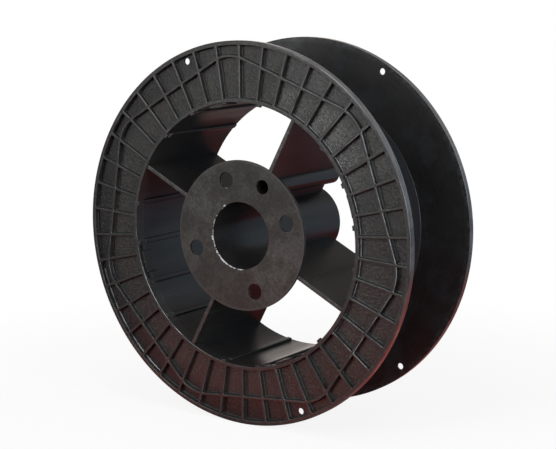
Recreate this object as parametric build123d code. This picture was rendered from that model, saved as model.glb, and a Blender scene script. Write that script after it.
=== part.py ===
from build123d import *
import math
import os

# Welding wire spool, millimetres. It is drawn on its own axis, with the ribbed front
# face towards +Z, and set upright at the end: the axis along Y, the front face at -Y.
# Angles go anticlockwise from +X as the front face is seen.

# Overall size
flange_diameter = 300.0
overall_width = 100.0
spindle_bore_diameter = 52.5

# Flanges
flange_thickness = 6.0
web_thickness = 2.0
rim_width = 3.4
rim_corner_radius = 1.0
rib_count = 42
rib_thickness = 1.9
rib_phase_angle = 4.8
heptagon_sides = 7
heptagon_reach_share = 0.8
heptagon_corner_share = 0.23
heptagon_corner_cell = 4.5
wire_hole_diameter = 5.2
wire_hole_inset = 7.2
front_wire_hole_cells = (12.5, 33.5)
rear_wire_hole_cells = (6.5, 35.5)

# Barrel
barrel_diameter = 214.0
barrel_wall = 2.5
barrel_rear_recess = 2.5
stiffener_count = 20
stiffener_width = 4.0
stiffener_height = 1.7
stiffener_rear_recess = 4.0

# Collar and spigot of the front flange, which sit on and in the end of the barrel
collar_wall = 2.9
spigot_wall = 1.1
spigot_length = 3.5
joint_clearance = 0.1
bump_length = 2.5

# Spokes between the hub and the barrel
spoke_count = 4
spoke_phase_angle = 62.5
spoke_thickness = 3.2
spoke_recess = 1.0
spoke_rear_recess = 6.0

# Hub
hub_tube_wall = 3.0
hub_disc_margin = 8.0
hub_disc_thickness = 2.6
hub_edge_chamfer = 0.5
hub_hole_diameter = 12.6
hub_hole_circle_radius = 44.5
drive_hole_diameter = 11.0
drive_tube_wall = 2.0

# Snap hooks of the barrel, and the notches of the collar that they hold
hook_width = 18.0
hook_thickness = 1.9
hook_recess = 2.5
hook_nose_height = 1.0
hook_nose_length = 2.2
hook_root_length = 6.0
hook_side_angle = 5.0
notch_width = 32.0
notch_clearance = 0.2

# Values that follow from the sizes above
flange_radius = flange_diameter / 2
front = overall_width / 2
rear = -front
front_flange_back = front - flange_thickness
rear_flange_back = rear + flange_thickness
spigot_end = front_flange_back - spigot_length
barrel_radius = barrel_diameter / 2
barrel_bore_radius = barrel_radius - barrel_wall
spigot_radius = barrel_bore_radius - joint_clearance
collar_bore_radius = spigot_radius - spigot_wall
collar_radius = collar_bore_radius + collar_wall
bore_radius = spindle_bore_diameter / 2
hub_tube_radius = bore_radius + hub_tube_wall
hub_disc_radius = hub_hole_circle_radius + hub_hole_diameter / 2 + hub_disc_margin
drive_tube_radius = drive_hole_diameter / 2 + drive_tube_wall
rib_pitch_angle = 360 / rib_count
stiffener_pitch_angle = 360 / stiffener_count
spoke_pitch_angle = 360 / spoke_count
stiffeners_per_spoke = stiffener_count // spoke_count


def at_angle(angle, radius):
    """The place at a radius and an angle round the axis, turned to face outwards."""
    return Rot(0, 0, angle) * Pos(radius, 0, 0)


def ring(outer_radius, inner_radius):
    return Circle(outer_radius) - Circle(inner_radius)


def slab(outline, low, high):
    """A flat outline made solid between two heights on the axis."""
    return extrude(Pos(0, 0, low) * outline, amount=high - low)


def radial_bar(angle, inner_radius, outer_radius, width):
    """A flat bar that points outwards from the axis."""
    middle_radius = (inner_radius + outer_radius) / 2
    return at_angle(angle, middle_radius) * Rectangle(outer_radius - inner_radius, width)


def rounded_heptagon(reach, corner_radius):
    """Seven straight sides whose rounded corners reach out to a radius."""
    sharp_reach = reach + corner_radius * (1 / math.cos(math.pi / heptagon_sides) - 1)
    outline = RegularPolygon(sharp_reach, heptagon_sides)
    return fillet(outline.vertices(), corner_radius)


def heptagon_rib():
    """The rib with seven straight sides that crosses the radial ribs."""
    half = rib_thickness / 2
    ribbed_width = flange_radius - rim_width - collar_radius
    reach = collar_radius + ribbed_width * heptagon_reach_share
    corner_radius = reach * heptagon_corner_share
    outside = rounded_heptagon(reach + half, corner_radius + half)
    inside = rounded_heptagon(reach - half, corner_radius - half)
    corner_angle = rib_phase_angle + rib_pitch_angle * heptagon_corner_cell
    return Rot(0, 0, corner_angle) * (outside - inside)


def flange_ribs(inner_radius):
    """Rim, radial ribs and heptagon rib, as one flat outline."""
    outline = ring(flange_radius, flange_radius - rim_width) + heptagon_rib()
    for index in range(rib_count):
        angle = rib_phase_angle + rib_pitch_angle * index
        outline += radial_bar(angle, inner_radius, flange_radius - rim_width / 2, rib_thickness)
    return outline


def wire_holes(cells, low, high):
    """Holes through the flange, in the middle of the named cells, for the wire's end."""
    hole_radius = flange_radius - wire_hole_inset
    holes = [
        at_angle(rib_phase_angle + rib_pitch_angle * cell, hole_radius) * Circle(wire_hole_diameter / 2)
        for cell in cells
    ]
    return slab(Sketch() + holes, low, high)


def round_rim(flange, face_height):
    """Rounds the rim's outer corner at one face of a flange."""
    corner = [
        edge
        for edge in flange.edges().filter_by(GeomType.CIRCLE)
        if math.isclose(edge.radius, flange_radius) and math.isclose(edge.center().Z, face_height)
    ]
    return fillet(corner, rim_corner_radius)


def hook_angles():
    """One snap hook in each window; the upper and lower ones lean away from each other."""
    middle = [spoke_phase_angle + spoke_pitch_angle * (index + 0.5) for index in range(spoke_count)]
    lean = (-hook_side_angle, 0, hook_side_angle, 0)
    return [angle + side for angle, side in zip(middle, lean)]


def collar_notches():
    """Notches in the collar's bore that the noses of the snap hooks catch in."""
    nose_top = front - hook_recess + notch_clearance
    nose_foot = front - hook_recess - hook_nose_length - notch_clearance
    depth = collar_bore_radius + hook_nose_height + notch_clearance
    outline = Sketch()
    for angle in hook_angles():
        outline += radial_bar(angle, collar_bore_radius - hook_thickness, depth, notch_width)
    return slab(outline & Circle(depth), nose_foot, nose_top)


def stiffener_angles():
    """Every place on the stiffeners' pitch that isn't taken by a spoke."""
    return [
        spoke_phase_angle + stiffener_pitch_angle * index
        for index in range(stiffener_count)
        if index % stiffeners_per_spoke
    ]


def bumps():
    """Short bumps inside the collar's mouth, in line with the barrel's stiffeners."""
    top_radius = collar_bore_radius - stiffener_height
    outline = Sketch()
    for angle in stiffener_angles():
        outline += radial_bar(angle, top_radius, collar_bore_radius + collar_wall / 2, stiffener_width)
    return slab(outline, front - bump_length, front)


def front_flange():
    web_front = front_flange_back + web_thickness
    ribs = flange_ribs(collar_bore_radius + collar_wall / 2) + ring(collar_radius, collar_bore_radius)
    flange = slab(ribs, web_front, front)
    flange += slab(ring(flange_radius, collar_bore_radius), front_flange_back, web_front)
    spigot = ring(spigot_radius, collar_bore_radius)
    flange += slab(spigot, spigot_end, front_flange_back)
    flange += bumps()
    flange -= collar_notches()
    flange -= wire_holes(front_wire_hole_cells, front_flange_back, front)
    return round_rim(flange, front)


def rear_flange():
    """The flange moulded in one with the barrel, whose end lies below the ribs that face the rear."""
    web_front = rear_flange_back - web_thickness
    ribs = flange_ribs(barrel_radius - barrel_wall / 2) + ring(barrel_radius, barrel_bore_radius)
    flange = slab(ribs, rear, web_front)
    flange += slab(ring(flange_radius, barrel_bore_radius), web_front, rear_flange_back)
    flange -= slab(Circle(barrel_radius), rear, rear + barrel_rear_recess)
    flange -= wire_holes(rear_wire_hole_cells, rear, rear_flange_back)
    return round_rim(flange, rear)


def stiffeners():
    """Low ribs along the inside of the barrel, as far as the spigot."""
    outline = Sketch()
    for angle in stiffener_angles():
        outline += radial_bar(
            angle, barrel_bore_radius - stiffener_height, barrel_bore_radius + barrel_wall / 2, stiffener_width
        )
    return slab(outline, rear + stiffener_rear_recess, spigot_end - joint_clearance)


def spokes():
    """Plates from the hub tube to the barrel, stepped back where they pass the collar."""
    inner_radius = hub_tube_radius - hub_tube_wall / 2
    outer_radius = barrel_bore_radius + barrel_wall / 2
    neck_radius = collar_bore_radius - joint_clearance
    body = Sketch()
    neck = Sketch()
    for index in range(spoke_count):
        angle = spoke_phase_angle + spoke_pitch_angle * index
        body += radial_bar(angle, inner_radius, outer_radius, spoke_thickness)
        neck += radial_bar(angle, inner_radius, neck_radius, spoke_thickness)
    neck_foot = spigot_end - joint_clearance
    plates = slab(body, rear + spoke_rear_recess, neck_foot)
    return plates + slab(neck, neck_foot, front - spoke_recess)


def hub():
    """Spindle tube, drive tube and the drilled disc at the front."""
    disc_back = front - hub_disc_thickness
    drive_place = at_angle(spoke_phase_angle, hub_hole_circle_radius)
    disc = slab(Circle(hub_disc_radius), disc_back, front)
    for index in range(spoke_count):
        angle = spoke_phase_angle + spoke_pitch_angle * (index + 0.5)
        hole = at_angle(angle, hub_hole_circle_radius) * Circle(hub_hole_diameter / 2)
        disc -= slab(hole, disc_back, front)
    tubes = slab(Circle(hub_tube_radius), rear, front)
    tubes += slab(drive_place * Circle(drive_tube_radius), rear, front)
    return disc + tubes


def hub_bores():
    """The spindle bore and the drive hole, cut through spokes and tubes alike."""
    drive_place = at_angle(spoke_phase_angle, hub_hole_circle_radius)
    bores = slab(Circle(bore_radius), rear, front)
    return bores + slab(drive_place * Circle(drive_hole_diameter / 2), rear, front)


def snap_hooks():
    """Tongues that reach from the barrel through the collar, each with a nose at its end."""
    outside = collar_bore_radius - joint_clearance
    inside = outside - hook_thickness
    tip = front - hook_recess
    nose_foot = tip - hook_nose_length
    root_top = spigot_end - joint_clearance
    tongues = Sketch()
    noses = Sketch()
    roots = Sketch()
    root_radius = barrel_bore_radius + barrel_wall / 2
    nose_radius = collar_bore_radius + hook_nose_height
    for angle in hook_angles():
        bar = radial_bar(angle, inside - hook_thickness, root_radius, hook_width)
        tongues += bar & ring(outside, inside)
        noses += bar & ring(nose_radius, inside)
        roots += bar & ring(root_radius, inside)
    hooks = slab(tongues, root_top, nose_foot) + slab(noses, nose_foot, tip)
    return hooks + slab(roots, root_top - hook_root_length, root_top)


def drum_body():
    barrel = slab(ring(barrel_radius, barrel_bore_radius), rear_flange_back, front_flange_back)
    body = rear_flange() + barrel + stiffeners() + spokes() + hub() + snap_hooks()
    body -= hub_bores()
    mouth = [
        edge
        for edge in body.edges().filter_by(GeomType.CIRCLE)
        if math.isclose(edge.radius, bore_radius) and math.isclose(abs(edge.center().Z), front)
    ]
    return chamfer(mouth, hub_edge_chamfer)


def stand(shape):
    """Turns the axis level, front face to -Y, and sets the rims on the ground."""
    return Pos(0, 0, flange_radius) * Rot(90, 0, 0) * shape


os.makedirs("parts", exist_ok=True)
for name, shape in (("front_flange", front_flange()), ("drum_body", drum_body())):
    placed = stand(shape)
    placed.label = name
    export_step(placed, f"parts/{name}.step")
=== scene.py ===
import math

import bmesh
import bpy
from mathutils import Matrix, Vector


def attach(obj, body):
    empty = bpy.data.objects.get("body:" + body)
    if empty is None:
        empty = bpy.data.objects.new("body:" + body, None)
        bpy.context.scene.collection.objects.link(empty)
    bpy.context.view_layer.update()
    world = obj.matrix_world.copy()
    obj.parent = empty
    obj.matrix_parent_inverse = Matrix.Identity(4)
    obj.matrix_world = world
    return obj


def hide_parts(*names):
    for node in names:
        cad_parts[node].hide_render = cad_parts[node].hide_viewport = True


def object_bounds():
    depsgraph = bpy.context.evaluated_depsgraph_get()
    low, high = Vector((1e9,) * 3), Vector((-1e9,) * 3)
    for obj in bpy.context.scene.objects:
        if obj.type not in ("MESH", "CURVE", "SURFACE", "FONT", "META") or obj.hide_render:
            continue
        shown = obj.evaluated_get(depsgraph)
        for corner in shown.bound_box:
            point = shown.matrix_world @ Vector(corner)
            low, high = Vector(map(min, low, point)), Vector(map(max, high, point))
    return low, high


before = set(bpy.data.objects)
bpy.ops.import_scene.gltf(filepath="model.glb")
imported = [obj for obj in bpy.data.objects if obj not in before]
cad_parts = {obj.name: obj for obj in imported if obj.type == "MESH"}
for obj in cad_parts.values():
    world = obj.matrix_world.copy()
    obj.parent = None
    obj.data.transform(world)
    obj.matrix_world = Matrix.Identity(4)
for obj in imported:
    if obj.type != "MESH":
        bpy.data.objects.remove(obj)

bl_info = {
    "name": "Welding wire spool",
    "version": (1, 0, 0),
    "blender": (4, 5, 0),
    "location": "View3D > Sidebar > Wire spool",
    "description": "Models the two mouldings of a welding wire spool and sets them in a studio",
    "category": "Object",
}

MILLIMETRE = 0.001
CAD_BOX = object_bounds()
CENTRE = (CAD_BOX[0] + CAD_BOX[1]) / 2
FLANGE_RADIUS = (CAD_BOX[1].z - CAD_BOX[0].z) / 2
FRONT = (CAD_BOX[1].y - CAD_BOX[0].y) / 2
REAR = -FRONT
FULL_TURN = 2 * math.pi
CREASE = math.radians(30)
SMOOTH_UNDER = math.radians(50)

# How far up or down the normal points: at most so much on a wall or a rounding, at least so much on a flat.
WALL = 0.5
ROUNDING = 0.97
FLAT = 0.9

# Faces round the turned parts.
BORE_STEPS = 120
TUBE_STEPS = 48
HOLE_STEPS = 40
WIRE_HOLE_STEPS = 24
DISC_STEPS = 180

# Stretches of the front flange, in degrees round the axis from the right, where right-facing edges get a
# painted highlight.
LOWER_LEFT_GLINT_STRETCH = (196, 236)
RIGHT_GLINT_STRETCH = (-40, 138)


def length(name, description, millimetres):
    """A length setting, given in millimetres and kept in metres."""
    return bpy.props.FloatProperty(
        name=name, description=description, default=millimetres * MILLIMETRE,
        min=0.0, subtype="DISTANCE", unit="LENGTH", precision=5)


def turn(name, description, degrees):
    """An angle setting, given in degrees."""
    return bpy.props.FloatProperty(
        name=name, description=description, default=math.radians(degrees), subtype="ANGLE")


def count(name, description, whole):
    return bpy.props.IntProperty(name=name, description=description, default=whole, min=1)


def colour(name, description, rgb):
    return bpy.props.FloatVectorProperty(
        name=name, description=description, default=rgb, size=3, subtype="COLOR", min=0.0, max=1.0)


def place(name, description, metres):
    return bpy.props.FloatVectorProperty(
        name=name, description=description, default=metres, size=3, subtype="TRANSLATION", unit="LENGTH")


def number(name, description, value):
    """A setting without a unit, or in the unit that its description names."""
    return bpy.props.FloatProperty(name=name, description=description, default=value)


def number_pair(name, description, values):
    return bpy.props.FloatVectorProperty(name=name, description=description, default=values, size=2)


def length_pair(name, description, metres):
    return bpy.props.FloatVectorProperty(
        name=name, description=description, default=metres, size=2, subtype="TRANSLATION", unit="LENGTH")


class SpoolFlangeSettings(bpy.types.PropertyGroup):
    """Sizes of the two ribbed flanges."""

    thickness: length("Thickness", "From the ribs' tops to the smooth side", 6.0)
    web: length("Web", "Thickness of the cells' floors", 2.0)
    rim: length("Rim", "Width of the rim's top", 3.4)
    rim_corner: length("Rim corner", "Rounding of the rim's outer corner", 1.0)
    rib_count: count("Ribs", "Radial ribs round a flange", 42)
    rib_thickness: length("Rib thickness", "Across a rib's top", 1.9)
    rib_draft: length("Rib draft", "How much wider each side of a rib is at its foot", 0.12)
    rib_phase: turn("Rib phase", "Angle of the first rib", 4.8)
    cell_steps: count("Steps per cell", "Faces along a cell's outer wall", 6)
    cell_corner: length("Cell corner", "Rounding of a cell's upright corners", 1.0)
    foot_round: length("Foot rounding", "Rounding where a rib meets the floor", 0.7)
    top_round: length("Top rounding", "Rounding of a rib's top edges", 0.35)
    heptagon_sides: count("Heptagon sides", "Straight sides of the rib that crosses the others", 7)
    heptagon_reach: length("Heptagon reach", "From the axis to a rounded corner's middle", 138.52)
    heptagon_corner: length("Heptagon corner", "Radius of the heptagon's corners", 31.86)
    heptagon_cell: number("Heptagon cell", "Cells from the first rib to a heptagon corner", 4.5)
    wire_hole: length("Wire hole", "Diameter of the holes that the wire's end goes through", 5.2)
    wire_hole_inset: length("Wire hole inset", "From the rim to a wire hole's middle", 7.2)
    front_hole_cells: number_pair(
        "Front holes", "Cells from the first rib to the front holes", (12.5, 33.5))
    rear_hole_cells: number_pair("Rear holes", "Cells from the first rib to the rear holes", (6.5, 35.5))


class SpoolBarrelSettings(bpy.types.PropertyGroup):
    """Sizes of the barrel, the front flange's collar and the snap hooks."""

    radius: length("Barrel radius", "Outside of the barrel", 107.0)
    wall: length("Barrel wall", "Thickness of the barrel", 2.5)
    rear_recess: length("Rear recess", "From the rear face to the barrel's end", 2.5)
    foot_round: length("Foot rounding", "Rounding where the barrel meets the rear flange", 0.4)
    edge_round: length("Edge rounding", "Rounding of the mouths and plate edges", 0.4)
    collar_wall: length("Collar wall", "Thickness of the front flange's collar", 2.9)
    spigot_wall: length("Spigot wall", "Thickness of the ring that fits in the barrel", 1.1)
    spigot: length("Spigot", "Length of the ring that fits in the barrel", 3.5)
    clearance: length("Clearance", "Gap round the spigot and the hooks", 0.1)
    embed: length("Embed", "How far plates and stiffeners run into a wall", 1.2)
    stiffener_count: count("Stiffeners", "Places round the barrel for stiffeners and spokes", 20)
    stiffener_width: length("Stiffener width", "Across a stiffener", 4.0)
    stiffener_height: length("Stiffener height", "How far a stiffener stands out", 1.7)
    stiffener_recess: length("Stiffener recess", "From the rear face to the stiffeners' ends", 4.0)
    stiffener_round: length("Stiffener rounding", "Rounding of a stiffener's edges", 0.6)
    bump: length("Bump", "Length of the bumps at the collar's mouth", 2.5)
    hook_width: length("Hook width", "Across a snap hook", 18.0)
    hook_thickness: length("Hook thickness", "Thickness of a snap hook's tongue", 1.9)
    hook_recess: length("Hook recess", "From the front face to a hook's tip", 2.5)
    hook_nose: length("Hook nose", "How far a hook's nose stands out", 1.0)
    hook_nose_length: length("Nose length", "Length of a hook's nose", 2.2)
    hook_root: length("Hook root", "Length of a hook's root on the barrel", 6.0)
    hook_lean: turn("Hook lean", "How far the upper and lower hooks sit from the window's middle", 5.0)
    hook_steps: count("Hook steps", "Faces across a snap hook", 8)
    notch_width: length("Notch width", "Width of the notch that a hook's nose catches in", 32.0)
    notch_clearance: length("Notch clearance", "Gap round a hook's nose", 0.2)


class SpoolHubSettings(bpy.types.PropertyGroup):
    """Sizes of the hub and its spokes."""

    bore: length("Spindle bore", "Diameter of the spindle bore", 52.5)
    tube_wall: length("Hub tube wall", "Thickness of the tube round the bore", 3.0)
    disc_radius: length("Hub disc radius", "Radius of the drilled disc", 58.8)
    disc_thickness: length("Hub disc thickness", "Thickness of the drilled disc", 2.6)
    mouth_round: length("Mouth rounding", "Rounding of the bore's mouths", 0.5)
    hole: length("Hub hole", "Diameter of the disc's holes", 12.6)
    hole_circle: length("Hole circle", "Radius of the circle that the holes lie on", 44.5)
    drive_hole: length("Drive hole", "Diameter of the drive hole", 11.0)
    drive_wall: length("Drive tube wall", "Thickness of the tube round the drive hole", 2.0)
    hole_round: length("Hole rounding", "Rounding of the holes' front edges", 0.25)
    spoke_count: count("Spokes", "Plates between the hub and the barrel", 4)
    spoke_phase: turn("Spoke phase", "Angle of the first spoke", 62.5)
    spoke_thickness: length("Spoke thickness", "Thickness of a spoke", 3.2)
    spoke_recess: length("Spoke recess", "From the front face to a spoke's edge", 1.0)
    spoke_rear_recess: length("Spoke rear recess", "From the rear face to a spoke's edge", 6.0)


class SpoolStageSettings(bpy.types.PropertyGroup):
    """The camera's place, the floor and the lamps."""

    camera_azimuth: turn(
        "Camera azimuth", "Turn of the camera round the spool, from the front face", 33.951)
    camera_elevation: turn("Camera elevation", "Height of the camera above the level", 9.246)
    camera_distance: length("Camera distance", "From the middle of the spool to the camera", 1201.8)
    focal_length: number("Focal length", "Of the lens, in millimetres on a 36 mm sensor", 97.30)
    sensor_width: number("Sensor width", "In millimetres", 36.0)
    shift_x: number("Shift X", "Lens shift across", 0.0029)
    shift_y: number("Shift Y", "Lens shift upwards", 0.0051)
    floor_size: length("Floor size", "Side of the square floor", 8000.0)
    floor_colour: colour("Floor colour", "Colour of the floor", (0.86, 0.86, 0.855))
    ground_light: colour("Ground light", "Tint of the soft light from the ground", (0.25, 0.20, 0.195))
    ground_centre: place("Ground centre", "Middle of the red patch of ground", (0.04, 0.08, 0.0))
    ground_from: length("Ground from", "Where the reflected ground starts to turn pale", 280.0)
    ground_past: length("Ground past", "Where the reflected ground is pale", 490.0)
    red_behind: colour("Red behind", "Reflected ground close behind the spool", (0.18, 0.052, 0.050))
    red_before: colour("Red before", "Reflected ground close before the spool", (1.0, 0.160, 0.128))
    pale_behind: colour("Pale behind", "Reflected ground further out, behind the spool", (0.34, 0.40, 0.50))
    pale_left: colour(
        "Pale left", "Reflected ground further out, behind the spool and left of it", (0.42, 0.35, 0.33))
    pale_before: colour(
        "Pale before", "Reflected ground further out, before the spool", (0.12, 0.12, 0.122))
    far_before: colour("Far before", "Reflected ground a long way before the spool", (0.46, 0.47, 0.48))
    far_from: length("Far from", "Where the reflected ground turns to its far tone", 1050.0)
    far_past: length("Far past", "Where the reflected ground has its far tone", 1750.0)
    shade: colour("Shade", "Reflected ground under the spool, in its own shadow", (0.20, 0.04, 0.035))
    shade_width: length_pair(
        "Shade width", "How far left or right of the axis the shadow fades and ends", (0.06, 0.13))
    shade_depth: length_pair(
        "Shade depth", "How far before or behind the middle the shadow fades and ends", (0.05, 0.08))
    red_slant: number("Red slant", "How far back, for its way right, the brighter red ground reaches", 1.25)
    left_width: length_pair(
        "Left width", "Across the ground, where its left tone ends and its right tone starts",
        (-0.25, 0.02))
    white_near: number("White near", "How much of the floor is plain white close to the spool", 0.88)
    white_from: length("White from", "Where the floor starts to fade to plain white", 180.0)
    white_past: length("White past", "Where the floor is plain white", 520.0)
    room_colour: colour("Room colour", "Tint of the light from all round", (1.0, 0.98, 0.96))
    backdrop_colour: colour("Backdrop colour", "Tint of the light from behind and left", (1.0, 0.875, 0.81))
    side_colour: colour("Side colour", "Tint of the light from behind and right", (0.74, 0.87, 1.0))
    room_level: number("Room level", "Light from all round", 0.105)
    backdrop_level: number("Backdrop level", "Light from behind", 1.6)
    side_level: number("Side level", "Light from behind and right", 0.5)
    backdrop_width: number_pair(
        "Backdrop width", "How far behind a direction lies where the backdrop starts and is full",
        (0.2, 0.7))
    backdrop_height: number_pair(
        "Backdrop height", "How steep a direction is where the backdrop fades and ends", (0.2, 0.45))
    side_height: number_pair(
        "Side height", "How steep a direction is where the light from behind and right fades and ends",
        (0.52, 0.80))
    side_width: number_pair(
        "Side width", "How far right a direction lies where the light reaches higher", (0.1, 0.4))
    backdrop_side: number_pair(
        "Backdrop side", "How far right a direction lies where the backdrop dims and is dim", (-0.2, 0.4))
    window_place: place("Window place", "Middle of the cool lamp at the right", (1.3, -0.45, 0.35))
    window_size: length("Window size", "Side of the cool lamp", 700.0)
    window_power: number("Window power", "Watts of the cool lamp", 13.5)
    window_colour: colour("Window colour", "Tint of the cool lamp", (0.93, 0.965, 1.0))
    ceiling_place: place("Ceiling place", "Middle of the lamp overhead", (0.1, -0.25, 1.35))
    ceiling_size: length("Ceiling size", "Side of the lamp overhead", 900.0)
    ceiling_power: number("Ceiling power", "Watts of the lamp overhead", 6.5)
    ceiling_colour: colour("Ceiling colour", "Tint of the lamp overhead", (1.0, 1.0, 1.0))
    fill_place: place("Fill place", "Middle of the lamp in front", (-0.2, -1.3, 0.95))
    fill_size: length("Fill size", "Side of the lamp in front", 800.0)
    fill_power: number("Fill power", "Watts of the lamp in front", 11.0)
    fill_colour: colour("Fill colour", "Tint of the lamp in front", (1.0, 0.99, 0.97))
    glow_place: place(
        "Glow place", "Middle of the low lamp at the left, whose shine lies on the upper right cells",
        (-0.62, -1.25, 0.25))
    glow_size: length("Glow size", "Side of the low lamp", 500.0)
    glow_power: number("Glow power", "Watts of the low lamp", 2.4)
    glow_colour: colour("Glow colour", "Tint of the low lamp", (1.0, 1.0, 1.0))


def deselect_all():
    if bpy.context.object and bpy.context.object.mode != "OBJECT":
        bpy.ops.object.mode_set(mode="OBJECT")
    bpy.ops.object.select_all(action="DESELECT")


def activate(piece):
    deselect_all()
    piece.select_set(True)
    bpy.context.view_layer.objects.active = piece


def apply_place(piece):
    """Moves a piece's place, turn and scale into its mesh."""
    activate(piece)
    bpy.ops.object.transform_apply(location=True, rotation=True, scale=True)


def edit(piece, kind="EDGE"):
    """Opens a piece in edit mode, with nothing selected."""
    activate(piece)
    bpy.ops.object.mode_set(mode="EDIT")
    bpy.ops.mesh.select_mode(type=kind)
    bpy.ops.mesh.select_all(action="DESELECT")


def select_where(piece, kind, wanted):
    """Selects the corners, edges or faces of an edited piece that a test wants."""
    bpy.ops.mesh.select_mode(type=kind)
    bpy.ops.mesh.select_all(action="DESELECT")
    mesh = bmesh.from_edit_mesh(piece.data)
    found = 0
    for part in {"VERT": mesh.verts, "EDGE": mesh.edges, "FACE": mesh.faces}[kind]:
        if wanted(part):
            part.select_set(True)
            found += 1
    mesh.select_flush_mode()
    bmesh.update_edit_mesh(piece.data)
    if not found:
        raise RuntimeError(f"nothing to select on {piece.name}")


def round_selected(size, steps):
    """Rounds the selected edges of the edited piece."""
    bpy.ops.mesh.bevel(offset=size, segments=steps, profile=0.5, affect="EDGES", clamp_overlap=True)


def creased(edge):
    return edge.calc_face_angle(0) > CREASE


def axis_distance(place):
    return math.hypot(place.x, place.y)


def close_to(value, wanted, tolerance=0.01 * MILLIMETRE):
    return abs(value - wanted) < tolerance


def arc(radius, height, size, start, end, steps):
    """Profile points (radius, height) on a rounding, from one angle in degrees to another."""
    points = []
    for index in range(steps + 1):
        angle = math.radians(start + (end - start) * index / steps)
        points.append((radius + size * math.cos(angle), height + size * math.sin(angle)))
    return points


def follow(profile, start):
    """Extrudes the selected ring along a profile of (radius, height) points round the axis."""
    radius, height = start
    for next_radius, next_height in profile:
        bpy.ops.mesh.extrude_edges_indiv()
        bpy.ops.transform.translate(value=(0, 0, next_height - height))
        ratio = next_radius / radius
        bpy.ops.transform.resize(value=(ratio, ratio, 1), center_override=(0, 0, 0))
        radius, height = next_radius, next_height


def first_ring(name, radius, height, steps, phase=0.0):
    """A ring of edges round the axis, selected in edit mode."""
    deselect_all()
    bpy.ops.mesh.primitive_circle_add(
        vertices=steps, radius=radius, location=(0, 0, height), rotation=(0, 0, phase))
    piece = bpy.context.object
    piece.name = name
    piece.data.name = name
    apply_place(piece)
    edit(piece)
    bpy.ops.mesh.select_all(action="SELECT")
    return piece


def turned(name, profile, steps):
    """A solid turned from a profile, with flat ends."""
    piece = first_ring(name, *profile[0], steps)
    bpy.ops.mesh.edge_face_add()
    select_where(piece, "EDGE", lambda edge: True)
    follow(profile[1:], profile[0])
    bpy.ops.mesh.edge_face_add()
    close_shell()
    return piece


def close_shell():
    """Merges the seams of the edited mesh, turns its faces outwards and leaves edit mode."""
    bpy.ops.mesh.select_all(action="SELECT")
    bpy.ops.mesh.remove_doubles(threshold=0.001 * MILLIMETRE)
    bpy.ops.mesh.normals_make_consistent(inside=False)
    bpy.ops.object.mode_set(mode="OBJECT")


def box(name, low, high):
    """A box between two corners, all selected in edit mode."""
    deselect_all()
    size = [top - bottom for bottom, top in zip(low, high)]
    middle = [(top + bottom) / 2 for bottom, top in zip(low, high)]
    bpy.ops.mesh.primitive_cube_add(size=1, location=middle, scale=size)
    piece = bpy.context.object
    piece.name = name
    apply_place(piece)
    edit(piece)
    bpy.ops.mesh.select_all(action="SELECT")
    return piece


def block(name, low, high, rounding):
    """A box between two corners with rounded edges."""
    piece = box(name, low, high)
    round_selected(rounding, 2)
    bpy.ops.object.mode_set(mode="OBJECT")
    return piece


def copies_round_axis(piece, angles):
    """Turns a copy of a piece to each angle, joins them all and drops the first."""
    copies = []
    for angle in angles:
        activate(piece)
        bpy.ops.object.duplicate()
        copy = bpy.context.object
        copy.matrix_world = Matrix.Rotation(angle, 4, "Z")
        apply_place(copy)
        copies.append(copy)
    bpy.data.objects.remove(piece)
    deselect_all()
    for copy in copies:
        copy.select_set(True)
    bpy.context.view_layer.objects.active = copies[0]
    if len(copies) > 1:
        bpy.ops.object.join()
    return bpy.context.object


def combine(piece, tool, operation):
    """Adds a closed shape to a piece, or cuts it away."""
    activate(piece)
    boolean = piece.modifiers.new(tool.name, "BOOLEAN")
    boolean.operation = operation
    boolean.solver = "MANIFOLD"
    boolean.object = tool
    bpy.ops.object.modifier_apply(modifier=boolean.name)
    bpy.data.objects.remove(tool)


def heptagon_radius(angle):
    """From the axis to the middle of the heptagon rib, at an angle round the axis."""
    flange = bpy.context.scene.spool_flange
    half_side = math.pi / flange.heptagon_sides
    corner_angle = flange.rib_phase + FULL_TURN / flange.rib_count * flange.heptagon_cell
    from_corner = abs((angle - corner_angle + half_side) % (2 * half_side) - half_side)
    corner_middle = flange.heptagon_reach - flange.heptagon_corner
    straight_from = math.atan2(
        flange.heptagon_corner * math.sin(half_side),
        corner_middle + flange.heptagon_corner * math.cos(half_side))
    if from_corner < straight_from:
        across = corner_middle * math.sin(from_corner)
        return corner_middle * math.cos(from_corner) + math.sqrt(flange.heptagon_corner ** 2 - across ** 2)
    apothem = corner_middle * math.cos(half_side) + flange.heptagon_corner
    return apothem / math.cos(half_side - from_corner)


def rib_position(place):
    """How many cells a place lies from the nearest rib's middle line, with its sign."""
    flange = bpy.context.scene.spool_flange
    cells = (math.atan2(place.y, place.x) - flange.rib_phase) / (FULL_TURN / flange.rib_count)
    return cells - round(cells)


def from_rib(place):
    """Distance of a place from the nearest rib's middle line."""
    angle = rib_position(place) * FULL_TURN / bpy.context.scene.spool_flange.rib_count
    return abs(axis_distance(place) * math.sin(angle))


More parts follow.
